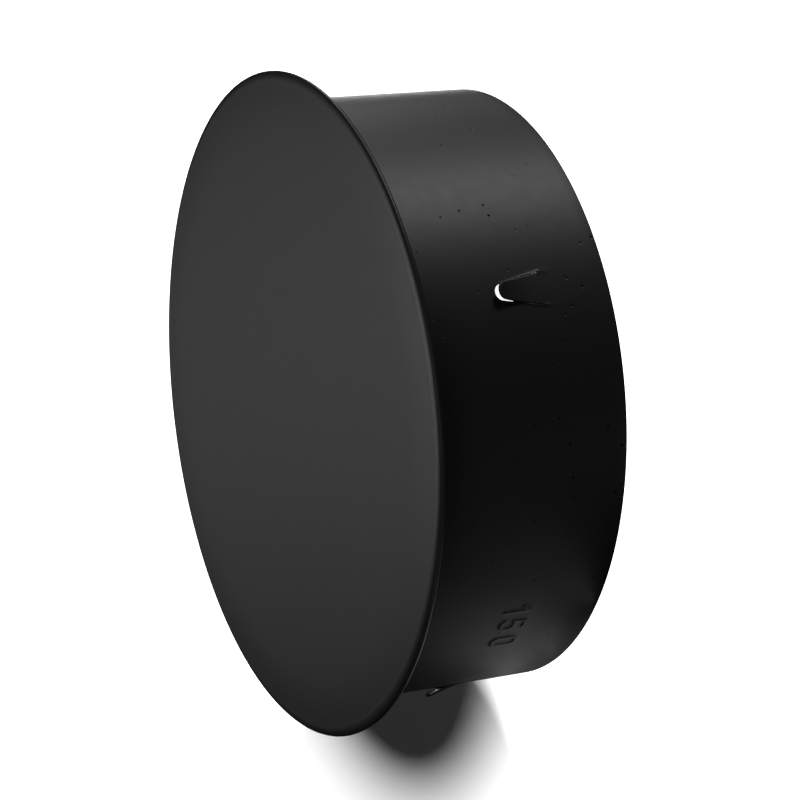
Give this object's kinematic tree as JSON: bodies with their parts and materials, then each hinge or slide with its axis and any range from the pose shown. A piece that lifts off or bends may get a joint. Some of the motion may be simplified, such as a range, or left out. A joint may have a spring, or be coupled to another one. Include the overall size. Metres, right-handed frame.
{
  "type": "stove pipe end cap",
  "caption": "Round sheet-metal end cap: a flat disc folded onto a short collar that plugs into a flue pipe, with sprung tongues cut in the collar.",
  "frame": {"origin": "centre of the collar's open end, on the surface that the cap stands on", "axes": "+Z along the pipe's axis, from the open end through the middle of the face; +X and +Y across the cap, with the middle of the row of tongues 23.5 degrees from +X towards -Y"},
  "size_m": [0.1656, 0.1656, 0.053],
  "materials": {
    "lid_paint": "satin black heat-resistant paint",
    "collar_paint": "satin black heat-resistant paint, slightly pitted"
  },
  "bodies": {
    "root": {"lid": "lid_paint", "collar": "collar_paint"}
  },
  "joints": []
}
